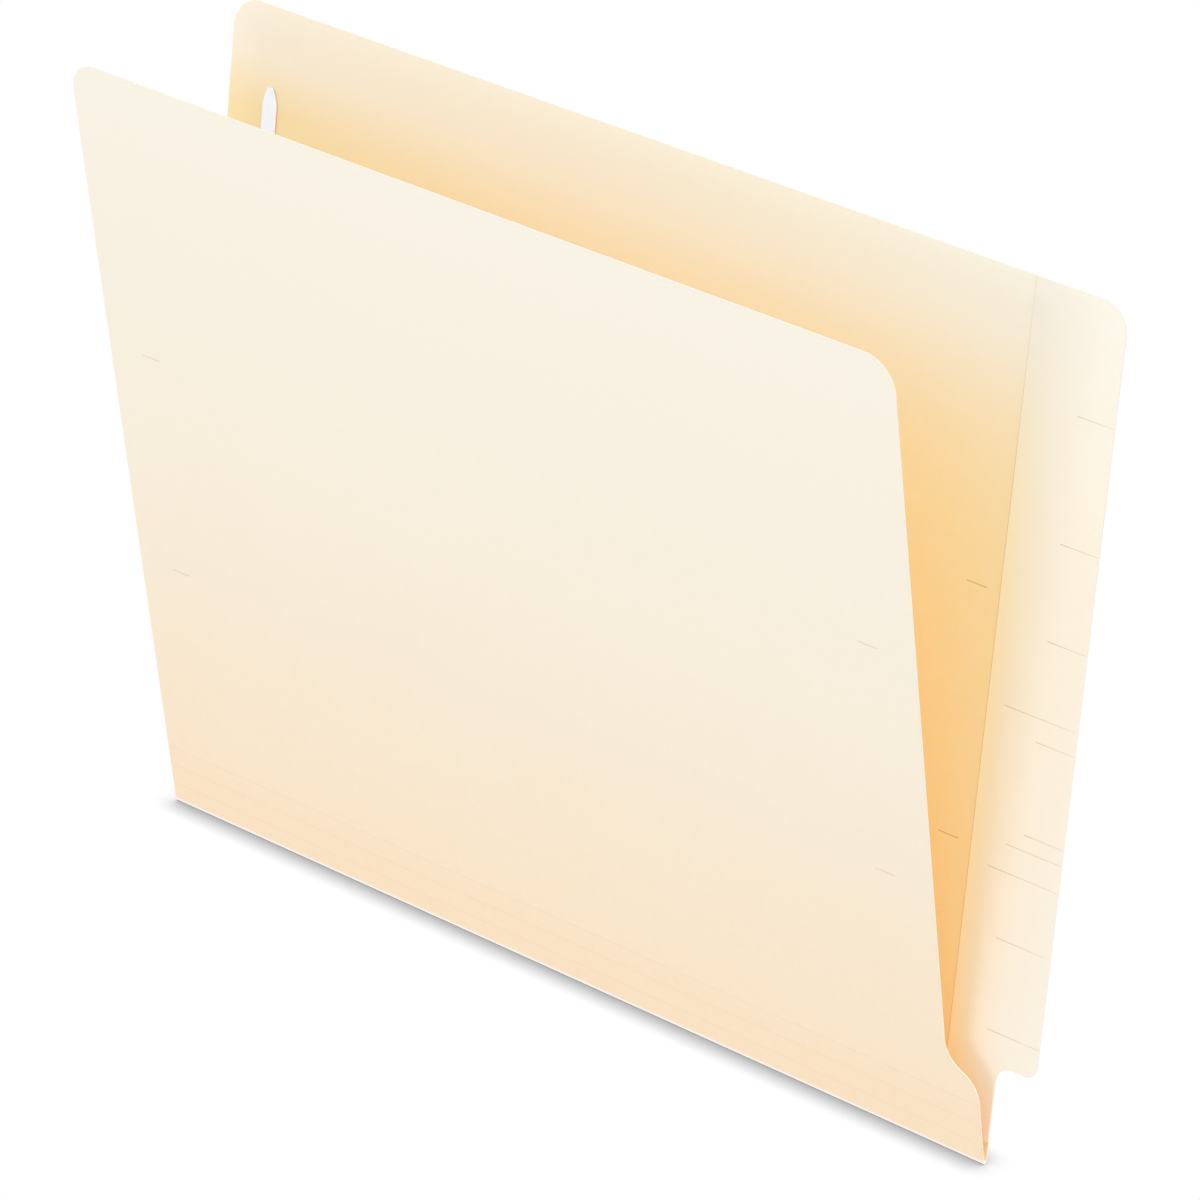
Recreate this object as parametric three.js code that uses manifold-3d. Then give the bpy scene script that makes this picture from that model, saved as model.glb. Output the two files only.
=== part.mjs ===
// Side tab file folder: a sheet of manila board folded into a V, with a reinforced tab down one end,
// three score lines that let the fold widen, pairs of fastener slits and one steel paper fastener.
// Millimetres, +Z up. The folder stands on its fold, which runs along X. The origin is at the middle
// of the overall width, at the lowest point of the fold. The front panel leans towards -Y.

import * as THREE from 'three';
import { mergeVertices } from 'three/addons/utils/BufferGeometryUtils.js';
import Module from 'manifold-3d';

const wasm = await Module();
wasm.setup();

// Board
const BOARD = 0.28;
const PANEL_HEIGHT = 241.3;
const FOLD_WIDTH = 298.45;
const CORNER_RADIUS = 9.5;
const PANEL_LEAN = 7.5;

// Fold and scores
const FOLD_INNER_RADIUS = 0.35;
const FOLD_STEPS = 7;
const FOLD_CLEARANCE = 0.15;
const SCORE_COUNT = 3;
const SCORE_PITCH = 6.35;
const SCORE_GAP = 0.3;

// Shoulder where the front panel narrows above the fold
const SHOULDER_CUT = 10.45;
const SHOULDER_FOOT = 23;
const SHOULDER_RADIUS = 4;
const SHOULDER_TURN = 63;

// Tab
const TAB_REACH = 12.7;
const TAB_FOOT = 28.8;
const TAB_ROOT_RADIUS = 5;
const TAB_FOOT_RADIUS = 3.5;
const TAB_CORNER_RADIUS = 8.2;
const PLY_WIDTH = 29.35;
const PLY_FOOT = 6.35;
const GLUE_GAP = 0.15;

// Fastener slits
const SLIT_LENGTH = 6.35;
const SLIT_WIDTH = 0.4;
const SLIT_SPACING = 69.85;
const SLIT_INSET = 16;
const BACK_SLIT_INSET = 24.4;
const FRONT_SLIT_CENTRE = 118.1;
const BACK_SLIT_CENTRE = 120.65;

// Fastener
const STEEL = 0.3;
const PRONG_WIDTH = 5.6;
const PRONG_LENGTH = 63;
const PRONG_TIP_WIDTH = 2.6;
const PRONG_TAPER = 4.2;
const STEEL_BEND_RADIUS = 0.15;
const STEEL_CLEARANCE = 0.15;
const CUTTING_MARGIN = 1;

const CURVE_STEPS = 6;

const rad = THREE.MathUtils.degToRad;

// Sizes that follow from the ones above
const OVERALL_WIDTH = FOLD_WIDTH + TAB_REACH;
const LEFT = -OVERALL_WIDTH / 2;
const FRONT_WIDTH = FOLD_WIDTH - SHOULDER_CUT;
const FOLD_OUTER_RADIUS = FOLD_INNER_RADIUS + BOARD;
const FOLD_WRAP = 180 - 2 * PANEL_LEAN;
const HINGE_HEIGHT = FOLD_OUTER_RADIUS * Math.cos(rad(FOLD_WRAP / FOLD_STEPS / 2));
const PANEL_START = FOLD_OUTER_RADIUS + FOLD_CLEARANCE;
const PANEL_TOP = PANEL_HEIGHT - HINGE_HEIGHT;

const manila = new THREE.MeshStandardMaterial({ color: 0xf6e6c4, roughness: 0.8, metalness: 0 });
const steel = new THREE.MeshStandardMaterial({ color: 0xd8dadd, roughness: 0.35, metalness: 1 });

// A height above the fold's lowest point, as a distance up the panel from the hinge line
const fromHinge = (height) => height - HINGE_HEIGHT;

const scoreHeight = (index) => fromHinge(index * SCORE_PITCH);

function solidOf(geometry) {
  const bare = geometry.clone();
  bare.deleteAttribute('normal');
  bare.deleteAttribute('uv');
  const merged = mergeVertices(bare, 1e-5);
  return new wasm.Manifold(new wasm.Mesh({
    numProp: 3,
    vertProperties: new Float32Array(merged.attributes.position.array),
    triVerts: new Uint32Array(merged.index.array),
  }));
}

function geometryOf(solid) {
  const mesh = solid.getMesh();
  const geometry = new THREE.BufferGeometry();
  geometry.setAttribute('position', new THREE.BufferAttribute(new Float32Array(mesh.vertProperties), 3));
  geometry.setIndex(new THREE.BufferAttribute(new Uint32Array(mesh.triVerts), 1));
  geometry.computeVertexNormals();
  return geometry;
}

// Cuts an outline, drawn as X along the fold and Y up the panel, from sheet of the given thickness,
// which lies between the plane Y = lowY and its thickness beyond that.
function sheet(outline, thickness, lowY) {
  const geometry = new THREE.ExtrudeGeometry(outline, {
    depth: thickness, bevelEnabled: false, curveSegments: CURVE_STEPS,
  });
  geometry.rotateX(Math.PI / 2);
  geometry.translate(0, lowY + thickness, 0);
  return geometry;
}

// Cutters for the two slits of a pair, long enough to pass through either panel
function slitPair(x, centre, width) {
  return [-1, 1].map((side) => {
    const cutter = new THREE.BoxGeometry(SLIT_LENGTH, 2 * (FOLD_OUTER_RADIUS + CUTTING_MARGIN), width);
    cutter.translate(x, 0, fromHinge(centre) + side * SLIT_SPACING / 2);
    return cutter;
  });
}

function cutAway(geometry, cutters) {
  const solid = cutters.reduce((rest, cutter) => rest.subtract(solidOf(cutter)), solidOf(geometry));
  return geometryOf(solid);
}

// The right-hand edge of the back panel and its ply, from the fold up to the tab's top corner.
// In this and the other outlines, absarc first draws the straight line to where its arc starts.
function drawTabEdge(path) {
  const root = LEFT + FOLD_WIDTH;
  const edge = LEFT + OVERALL_WIDTH;
  const foot = fromHinge(TAB_FOOT);
  path.absarc(root + TAB_ROOT_RADIUS, foot - TAB_ROOT_RADIUS, TAB_ROOT_RADIUS, Math.PI, Math.PI / 2, true);
  path.absarc(edge - TAB_FOOT_RADIUS, foot + TAB_FOOT_RADIUS, TAB_FOOT_RADIUS, -Math.PI / 2, 0, false);
  path.absarc(edge - TAB_CORNER_RADIUS, PANEL_TOP - TAB_CORNER_RADIUS, TAB_CORNER_RADIUS, 0, Math.PI / 2, false);
}

function drawLeftTopCorner(path) {
  path.absarc(LEFT + CORNER_RADIUS, PANEL_TOP - CORNER_RADIUS, CORNER_RADIUS, Math.PI / 2, Math.PI, false);
}

function backPanel() {
  const outline = new THREE.Shape();
  outline.moveTo(LEFT, PANEL_START);
  outline.lineTo(LEFT + FOLD_WIDTH, PANEL_START);
  drawTabEdge(outline);
  drawLeftTopCorner(outline);
  outline.closePath();
  const fastenerSlit = STEEL + 2 * STEEL_CLEARANCE;
  return cutAway(sheet(outline, BOARD, FOLD_INNER_RADIUS), [
    ...slitPair(LEFT + SLIT_INSET, BACK_SLIT_CENTRE, fastenerSlit),
    ...slitPair(LEFT + FOLD_WIDTH - BACK_SLIT_INSET, BACK_SLIT_CENTRE, SLIT_WIDTH),
  ]);
}

function tabReinforcement() {
  const seam = LEFT + OVERALL_WIDTH - PLY_WIDTH;
  const outline = new THREE.Shape();
  outline.moveTo(seam, fromHinge(PLY_FOOT));
  outline.lineTo(LEFT + FOLD_WIDTH, fromHinge(PLY_FOOT));
  drawTabEdge(outline);
  outline.lineTo(seam, PANEL_TOP);
  outline.closePath();
  return sheet(outline, BOARD, FOLD_INNER_RADIUS - GLUE_GAP - BOARD);
}

// The shoulder is an S of two equal arcs and the slanting line between them
function drawShoulder(path) {
  const turn = rad(SHOULDER_TURN);
  const wide = LEFT + FOLD_WIDTH;
  const narrow = LEFT + FRONT_WIDTH;
  const arcsAcross = 2 * SHOULDER_RADIUS * (1 - Math.cos(turn));
  const slant = (SHOULDER_CUT - arcsAcross) / Math.sin(turn);
  const foot = fromHinge(SHOULDER_FOOT);
  const top = foot + 2 * SHOULDER_RADIUS * Math.sin(turn) + slant * Math.cos(turn);
  path.absarc(wide - SHOULDER_RADIUS, foot, SHOULDER_RADIUS, 0, turn, false);
  path.absarc(narrow + SHOULDER_RADIUS, top, SHOULDER_RADIUS, Math.PI + turn, Math.PI, true);
}

function frontPanel() {
  const start = scoreHeight(SCORE_COUNT) + SCORE_GAP / 2;
  const right = LEFT + FRONT_WIDTH;
  const outline = new THREE.Shape();
  outline.moveTo(LEFT, start);
  outline.lineTo(LEFT + FOLD_WIDTH, start);
  drawShoulder(outline);
  outline.absarc(right - CORNER_RADIUS, PANEL_TOP - CORNER_RADIUS, CORNER_RADIUS, 0, Math.PI / 2, false);
  drawLeftTopCorner(outline);
  outline.closePath();
  return cutAway(sheet(outline, BOARD, -FOLD_INNER_RADIUS - BOARD), [
    ...slitPair(LEFT + SLIT_INSET, FRONT_SLIT_CENTRE, SLIT_WIDTH),
    ...slitPair(right - SLIT_INSET, FRONT_SLIT_CENTRE, SLIT_WIDTH),
  ]);
}

function expansionStrip(index) {
  const start = index === 1 ? PANEL_START : scoreHeight(index - 1) + SCORE_GAP / 2;
  const end = scoreHeight(index) - SCORE_GAP / 2;
  const outline = new THREE.Shape();
  outline.moveTo(LEFT, start);
  outline.lineTo(LEFT + FOLD_WIDTH, start);
  outline.lineTo(LEFT + FOLD_WIDTH, end);
  outline.lineTo(LEFT, end);
  outline.closePath();
  return sheet(outline, BOARD, -FOLD_INNER_RADIUS - BOARD);
}

// The board's turn round the fold: part of a ring, drawn across the fold and extruded along it
function foldBead() {
  const section = new THREE.Shape();
  const step = rad(FOLD_WRAP / FOLD_STEPS);
  const first = -Math.PI / 2 - rad(FOLD_WRAP / 2);
  const ring = (radius) => Array.from({ length: FOLD_STEPS + 1 }, (_, i) => (
    new THREE.Vector2(radius * Math.cos(first + i * step), radius * Math.sin(first + i * step))
  ));
  section.setFromPoints([...ring(FOLD_OUTER_RADIUS), ...ring(FOLD_INNER_RADIUS).reverse()]);
  const geometry = new THREE.ExtrudeGeometry(section, { depth: FOLD_WIDTH, bevelEnabled: false });
  // Section X and Y become the folder's Y and Z, and the extrusion runs along X
  geometry.applyMatrix4(new THREE.Matrix4().set(
    0, 0, 1, LEFT,
    1, 0, 0, 0,
    0, 1, 0, 0,
    0, 0, 0, 1,
  ));
  return geometry;
}

// The strip seen from its edge: base outside the panel, a bend in through each slit, prongs inside.
// X is the distance from the middle of the strip and Y is the distance towards the outside. It is
// half of the strip, drawn a little past the middle, so that it joins its mirror image there.
function fastenerSection() {
  const inner = FOLD_INNER_RADIUS - STEEL_CLEARANCE - STEEL;
  const outer = FOLD_INNER_RADIUS + BOARD + STEEL_CLEARANCE;
  const half = SLIT_SPACING / 2 + STEEL / 2;
  const small = STEEL_BEND_RADIUS;
  const large = STEEL_BEND_RADIUS + STEEL;
  const end = half - STEEL + PRONG_LENGTH;
  const section = new THREE.Shape();
  section.moveTo(-CUTTING_MARGIN, outer + STEEL);
  section.absarc(half - large, outer + STEEL - large, large, Math.PI / 2, 0, true);
  section.absarc(half + small, inner + STEEL + small, small, Math.PI, Math.PI * 1.5, false);
  section.lineTo(end, inner + STEEL);
  section.lineTo(end, inner);
  section.absarc(half - STEEL + large, inner + large, large, Math.PI * 1.5, Math.PI, true);
  section.absarc(half - STEEL - small, outer - small, small, 0, Math.PI / 2, false);
  section.lineTo(-CUTTING_MARGIN, outer);
  return { section, end };
}

// The same strip seen from the front, with the tapered and rounded tip of one prong
function fastenerPlan(end) {
  const half = PRONG_WIDTH / 2;
  const tip = PRONG_TIP_WIDTH / 2;
  const plan = new THREE.Shape();
  plan.moveTo(-half, -CUTTING_MARGIN);
  plan.lineTo(half, -CUTTING_MARGIN);
  plan.lineTo(half, end - PRONG_TAPER);
  plan.absarc(0, end - tip, tip, 0, Math.PI, false);
  plan.lineTo(-half, end - PRONG_TAPER);
  plan.closePath();
  return plan;
}

function fastener() {
  const { section, end } = fastenerSection();
  const options = { bevelEnabled: false, curveSegments: CURVE_STEPS };
  const across = PRONG_WIDTH + 2 * CUTTING_MARGIN;
  const profile = new THREE.ExtrudeGeometry(section, { ...options, depth: across });
  // Section X runs up the panel, section Y towards the outside, and the extrusion across the strip
  profile.applyMatrix4(new THREE.Matrix4().set(
    0, 0, -1, across / 2,
    0, 1, 0, 0,
    1, 0, 0, 0,
    0, 0, 0, 1,
  ));
  const reach = 2 * (FOLD_OUTER_RADIUS + STEEL + STEEL_CLEARANCE);
  const plan = sheet(fastenerPlan(end), 2 * reach, -reach);
  const upper = solidOf(profile).intersect(solidOf(plan));
  const lower = upper.mirror([0, 0, 1]);
  const geometry = geometryOf(upper.add(lower));
  geometry.translate(LEFT + SLIT_INSET, 0, fromHinge(BACK_SLIT_CENTRE));
  return geometry;
}

function piece(name, geometry, material) {
  const mesh = new THREE.Mesh(geometry, material);
  mesh.name = name;
  return mesh;
}

const folder = new THREE.Group();
folder.position.z = HINGE_HEIGHT;

const backSide = new THREE.Group();
backSide.rotation.x = -rad(PANEL_LEAN);
backSide.add(piece('back_panel', backPanel(), manila));
backSide.add(piece('tab_reinforcement', tabReinforcement(), manila));
backSide.add(piece('paper_fastener', fastener(), steel));

const frontSide = new THREE.Group();
frontSide.rotation.x = rad(PANEL_LEAN);
for (let index = 1; index <= SCORE_COUNT; index += 1) {
  frontSide.add(piece(`expansion_strip_${index}`, expansionStrip(index), manila));
}
frontSide.add(piece('front_panel', frontPanel(), manila));

folder.add(backSide, frontSide, piece('fold_bead', foldBead(), manila));

export default folder;
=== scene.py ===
"""Side tab file folder: the finish and the fine shape of every piece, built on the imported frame.

The folder is one sheet of manila board, folded into a V that stands on its fold, with a second ply
glued to its tab and a steel paper fastener. Each piece is drawn flat, with X along the fold, Z up the
panel from the hinge line of the fold and Y through the board, and is then leaned to its side of the V.
Lengths are metres.
"""

import logging
import math
from dataclasses import dataclass, field
from enum import Enum
from typing import Any, Callable, Iterable, Optional, Union

import bmesh
import bpy
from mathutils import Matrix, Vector


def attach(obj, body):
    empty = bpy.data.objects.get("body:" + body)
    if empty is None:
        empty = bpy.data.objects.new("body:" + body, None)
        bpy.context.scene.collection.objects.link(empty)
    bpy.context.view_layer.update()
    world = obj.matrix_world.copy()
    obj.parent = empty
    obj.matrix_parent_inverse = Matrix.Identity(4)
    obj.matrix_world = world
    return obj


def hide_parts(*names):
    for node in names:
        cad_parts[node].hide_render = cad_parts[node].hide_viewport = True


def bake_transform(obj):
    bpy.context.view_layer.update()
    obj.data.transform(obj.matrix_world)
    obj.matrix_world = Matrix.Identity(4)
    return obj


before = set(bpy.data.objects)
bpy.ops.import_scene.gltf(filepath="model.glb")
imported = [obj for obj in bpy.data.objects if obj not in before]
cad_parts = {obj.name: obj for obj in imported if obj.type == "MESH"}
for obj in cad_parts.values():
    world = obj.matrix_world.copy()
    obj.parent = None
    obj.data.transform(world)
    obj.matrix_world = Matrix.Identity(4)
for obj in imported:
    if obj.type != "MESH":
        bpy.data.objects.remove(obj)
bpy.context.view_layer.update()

log = logging.getLogger("folder")

MM = 0.001
SAME = 0.01 * MM  # Lengths that differ by less than this count as one.
EDGE_MATCH = 0.004 * MM  # The same for an edge that is spun, because its neighbours are near.
WELD = 0.002 * MM  # Corners closer than this are merged.
MIRROR_WELD = 0.005 * MM  # The same where two mirrored halves meet.
SHARP_EDGE = math.radians(50)  # Edges sharper than this are rounded.
FLAT_JOINT = math.radians(1)  # Faces that meet at less than this are joined.
FLAT_FACE = 0.999999  # The least Y of a normal that counts as along Y.
SMALL_ARC, LARGE_ARC = 10, 14  # The steps of a rounded corner.
Colour = tuple[float, float, float]
Point = tuple[float, float, float]
Stops = tuple[tuple[float, float], ...]
WHITE: Colour = (1.0, 1.0, 1.0)


class Kind(Enum):
    """What an operator works on in edit mode."""

    CORNER = "VERT"
    EDGE = "EDGE"
    FACE = "FACE"


class Axis(Enum):
    """The axes of the flat drawing that cuts are counted on."""

    ALONG = 0
    UP = 2


class Side(Enum):
    """Which panel of the V a piece belongs to, by the sign of Y."""

    FRONT = -1
    BACK = 1


class Slot(Enum):
    """Names for material slots."""

    BOARD = "manila_board"
    PLY = "manila_ply"
    STEEL = "tinned_steel"


class Wire:
    """One output of a material's nodes, so that shader maths is written as plain expressions."""

    def __init__(self, maker: "Nodes", socket: bpy.types.NodeSocket) -> None:
        """Wraps a socket.

        Args:
            maker: The node tree that the socket belongs to.
            socket: The output that is wrapped.
        """
        self.maker = maker
        self.socket = socket

    def __add__(self, other: "Number") -> "Wire":
        """Sum."""
        return self.maker.maths("ADD", self, other)

    def __radd__(self, other: "Number") -> "Wire":
        """Sum, from the right."""
        return self.maker.maths("ADD", other, self)

    def __sub__(self, other: "Number") -> "Wire":
        """Difference."""
        return self.maker.maths("SUBTRACT", self, other)

    def __rsub__(self, other: "Number") -> "Wire":
        """Difference, from the right."""
        return self.maker.maths("SUBTRACT", other, self)

    def __mul__(self, other: "Number") -> "Wire":
        """Product."""
        return self.maker.maths("MULTIPLY", self, other)

    def __rmul__(self, other: "Number") -> "Wire":
        """Product, from the right."""
        return self.maker.maths("MULTIPLY", other, self)


Number = Union[Wire, float]


class Nodes:
    """A node tree under construction."""

    NOISE_ROUGHNESS = 0.55

    def __init__(self, tree: bpy.types.NodeTree) -> None:
        """Empties a node tree and starts on it.

        Args:
            tree: The tree of a material or of the world.
        """
        self.tree = tree
        tree.nodes.clear()

    def node(
        self,
        kind: str,
        settings: Optional[dict[str, Any]] = None,
        inputs: Optional[dict[Union[str, int], Any]] = None,
    ) -> bpy.types.Node:
        """Adds a node, sets it up and feeds it.

        Args:
            kind: The node's type, without the ShaderNode that all of them begin with.
            settings: The node's own settings, which are set before its sockets. The stops of a
                ramp are given as "stops", pairs of a place and a grey.
            inputs: Values or wires for its input sockets, by name or number.

        Returns:
            The new node.
        """
        made = self.tree.nodes.new("ShaderNode" + kind)
        for name, value in (settings or {}).items():
            if name == "stops":
                self._set_stops(made, value)
            else:
                setattr(made, name, value)
        for name, value in (inputs or {}).items():
            socket = made.inputs[name]
            if isinstance(value, Wire):
                self.tree.links.new(value.socket, socket)
            elif isinstance(value, tuple) and socket.type == "RGBA":
                socket.default_value = (*value, 1.0)
            else:
                socket.default_value = value
        return made

    @staticmethod
    def _set_stops(ramp: bpy.types.Node, stops: Stops) -> None:
        """Sets a colour ramp's stops.

        Args:
            ramp: The ramp.
            stops: A place and a grey for each stop.
        """
        elements = ramp.color_ramp.elements
        while len(elements) < len(stops):
            elements.new(1.0)
        for element, (place, grey) in zip(elements, stops):
            element.position = place
            element.color = (grey, grey, grey, 1.0)

    def out(self, node: bpy.types.Node, socket: Union[str, int] = 0) -> Wire:
        """Returns an output of a node as a wire."""
        return Wire(self, node.outputs[socket])

    def maths(self, operation: str, first: Number, second: Number) -> Wire:
        """Returns the result of a Math node."""
        return self.out(self.node("Math", {"operation": operation}, {0: first, 1: second}))

    def blend(self, share: Number, first: Union[Wire, Colour], second: Union[Wire, Colour]) -> Wire:
        """Mixes two colours.

        Args:
            share: How much of the second colour there is.
            first: The colour at a share of 0.
            second: The colour at a share of 1.

        Returns:
            The mixed colour.
        """
        mixer = self.node(
            "Mix", {"data_type": "RGBA"}, {"Factor": share, 6: first, 7: second}
        )
        return self.out(mixer, 2)

    def coordinates(self, scale: Point = (1.0, 1.0, 1.0)) -> Wire:
        """Reads the piece's own coordinates.

        Args:
            scale: How much they are stretched along each axis.

        Returns:
            The coordinates.
        """
        place = self.out(self.node("TexCoord"), "Object")
        return self.out(self.node("Mapping", None, {"Vector": place, "Scale": scale}))

    def noise(self, coordinates: Wire, size: float, detail: float = 2.0) -> Wire:
        """Returns noise from 0 to 1.

        Args:
            coordinates: Where the noise is read.
            size: The size of its largest features, in the units of the coordinates.
            detail: How many finer levels it has.

        Returns:
            The noise, about 0.5 on average.
        """
        made = self.node("TexNoise", {"noise_dimensions": "3D"}, {
            "Vector": coordinates, "Scale": 1.0 / size, "Detail": detail,
            "Roughness": self.NOISE_ROUGHNESS,
        })
        return self.out(made, "Fac")

    def ramp(self, value: Wire, stops: Stops) -> Wire:
        """Leads a value through a smooth grey ramp.

        Args:
            value: The value.
            stops: A place and a grey for each stop.

        Returns:
            The grey.
        """
        made = self.node("ValToRGB", {"stops": stops}, {"Fac": value})
        made.color_ramp.interpolation = "EASE"
        return self.out(made)

    def between(self, value: Wire, low: float, high: float) -> Wire:
        """Leads a value through a smooth step.

        Args:
            value: The value.
            low: Where the step starts. Before it, all is 0.
            high: Where it ends. Past it, all is 1.

        Returns:
            The height of the step.
        """
        made = self.node(
            "MapRange", {"interpolation_type": "SMOOTHSTEP"},
            {"Value": value, "From Min": low, "From Max": high},
        )
        return self.out(made)

    def height(self, place: Wire) -> Wire:
        """Returns the Z of coordinates."""
        return self.out(self.node("SeparateXYZ", None, {0: place}), "Z")

    def painted(self, name: str) -> Wire:
        """Returns the number that Piece.paint wrote at each corner, and 0 where it wrote none."""
        return self.out(self.node("Attribute", {"attribute_name": name}), "Fac")

    def surface(self, strength: float, depth: float, relief: Wire, inputs: dict[str, Any]) -> None:
        """Ends a material with its shader.

        Args:
            strength: How strongly the relief shows.
            depth: How deep it is.
            relief: Its height, from 0 to 1.
            inputs: The shader's other inputs.
        """
        bump = self.node("Bump", None, {"Strength": strength, "Distance": depth, "Height": relief})
        shader = self.node("BsdfPrincipled", None, {**inputs, "Normal": self.out(bump)})
        self.node("OutputMaterial", None, {"Surface": self.out(shader)})


@dataclass(frozen=True)
class Finish:
    """A surface finish, which draws its own material."""

    name: str

    def material(self) -> bpy.types.Material:
        """Makes the material once, and keeps it under the finish's name.

        Returns:
            The material.
        """
        made = bpy.data.materials.get(self.name)
        if made is None:
            made = bpy.data.materials.new(self.name)
            made.use_nodes = True
            self.draw(Nodes(made.node_tree))
        return made

    def draw(self, nodes: Nodes) -> None:
        """Builds the material's nodes."""
        raise NotImplementedError


@dataclass(frozen=True)
class BoardFinish(Finish):
    """Uncoated manila board: cream, matt, softly mottled, with short fibres in it.

    Its tone is warmer and darker towards the foot, most just above the fold, as painted shade, and
    paler towards the top, as painted light. Four numbers painted on the mesh change it further:
    painted shade, yellow, deep in the V; painted light in a pale band below the top edge on the
    inside; a painted highlight along the fold, where the board is also stretched paler; and painted
    shade in a score, a mark, a slit and along the seam.
    """

    body: Colour = (0.935, 0.862, 0.725)
    # Painted shade: warmer and darker towards the foot.
    warm_shade: Colour = (0.955, 0.758, 0.530)
    # Painted light towards the top; also the tone of the paler mottle.
    pale: Colour = (0.965, 0.915, 0.810)
    fibre: Colour = (0.830, 0.690, 0.500)
    # Painted highlight along the fold, where the board is also stretched paler.
    wear_and_highlight: Colour = (0.985, 0.950, 0.890)
    # Painted shade in scores, marks, slits and along the seam.
    crease: Colour = (0.530, 0.290, 0.075)
    # Painted shade deep in the V.
    inner: Colour = (0.935, 0.772, 0.415)
    # Painted light in a pale band below the top edge on the inside.
    lip: Colour = (0.925, 0.932, 0.845)
    # Painted shade, warmer still just above the fold.
    foot: Colour = (0.980, 0.660, 0.400)
    foot_shade_from: float = 0.012
    foot_shade_to: float = 0.025
    foot_shade_share: float = 0.30
    warm_shade_from: float = 0.185
    warm_shade_share: float = 0.95
    cloud_shift: float = 30 * MM
    top_light_from: float = 0.150
    top_light_to: float = 0.245
    top_light_share: float = 0.65
    cloud_size: float = 45 * MM
    mottle_size: float = 2.6 * MM
    fibre_length: float = 2.2 * MM
    fibre_width: float = 0.22 * MM
    fibre_stops: Stops = ((0.66, 0.0), (0.80, 1.0))
    fibre_share: float = 0.22
    fibre_relief: float = 0.5
    mottle_share: float = 0.30
    tooth_size: float = 0.35 * MM
    tooth_depth: float = 0.012 * MM
    tooth_strength: float = 0.6
    roughness: float = 0.86
    roughness_spread: float = 0.08
    specular: float = 0.25

    def draw(self, nodes: Nodes) -> None:
        """Builds the material's nodes.

        Args:
            nodes: The material's empty node tree.
        """
        place = nodes.coordinates()
        cloud = nodes.noise(place, self.cloud_size, detail=3.0)
        mottle = nodes.noise(place, self.mottle_size, detail=4.0)
        grain = nodes.coordinates((
            1.0 / self.fibre_length, 1.0 / self.fibre_width, 1.0 / self.fibre_width,
        ))
        fibres = nodes.ramp(nodes.noise(grain, 1.0, detail=1.0), self.fibre_stops)
        height = nodes.height(place)
        # Masks of painted shade towards the foot and painted light towards the top.
        low = 1.0 - nodes.between(height + cloud * self.cloud_shift, 0.0, self.warm_shade_from)
        high = nodes.between(height, self.top_light_from, self.top_light_to)
        foot = 1.0 - nodes.between(height, self.foot_shade_from, self.foot_shade_to)
        colour: Union[Wire, Colour] = self.body
        # Painted shade and light, the board's own mottle and fibres, the fold's highlight, groove shade.
        for share, tone in (
            (low * self.warm_shade_share, self.warm_shade),
            (high * self.top_light_share, self.pale),
            (foot * self.foot_shade_share, self.foot),
            (nodes.painted("inside"), self.inner),
            (nodes.painted("lip"), self.lip),
            (mottle * self.mottle_share, self.pale),
            (fibres * self.fibre_share, self.fibre),
            (nodes.painted("worn"), self.wear_and_highlight),
            (nodes.painted("groove"), self.crease),
        ):
            colour = nodes.blend(share, colour, tone)
        tooth = nodes.noise(place, self.tooth_size, detail=3.0)
        least = self.roughness - self.roughness_spread / 2
        nodes.surface(self.tooth_strength, self.tooth_depth, tooth + fibres * self.fibre_relief, {
            "Base Color": colour,
            "Roughness": mottle * self.roughness_spread + least,
            "Specular IOR Level": self.specular,
        })


@dataclass(frozen=True)
class CutEdgeFinish(Finish):
    """The cut edge of the board, where its pale inside shows in thin layers.

    The top edge is a little darker: painted shade, where the overhead lamp would light it white.
    """

    body: Colour = (0.905, 0.850, 0.740)
    shade: Colour = (0.840, 0.750, 0.600)
    # Painted shade on the top edge, where the overhead lamp would light it white.
    top_edge_shade: Colour = (0.700, 0.655, 0.570)
    top_edge_shade_from: float = 0.230
    top_edge_shade_to: float = 0.2375
    layer: float = 0.06 * MM
    layer_stops: Stops = ((0.35, 0.0), (0.75, 0.6))
    run: float = 4.0 * MM
    relief_depth: float = 0.02 * MM
    relief_strength: float = 0.5
    roughness: float = 0.92
    specular: float = 0.2

    def draw(self, nodes: Nodes) -> None:
        """Builds the material's nodes.

        Args:
            nodes: The material's empty node tree.
        """
        layers = nodes.coordinates((1.0 / self.run, 1.0 / self.layer, 1.0 / self.run))
        ragged = nodes.noise(layers, 1.0, detail=3.0)
        colour = nodes.blend(nodes.ramp(ragged, self.layer_stops), self.body, self.shade)
        height = nodes.height(nodes.coordinates())
        # Mask of the painted shade on the top edge.
        top = nodes.between(height, self.top_edge_shade_from, self.top_edge_shade_to)
        nodes.surface(self.relief_strength, self.relief_depth, ragged, {
            "Base Color": nodes.blend(top, colour, self.top_edge_shade),
            "Roughness": self.roughness,
            "Specular IOR Level": self.specular,
        })


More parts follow.
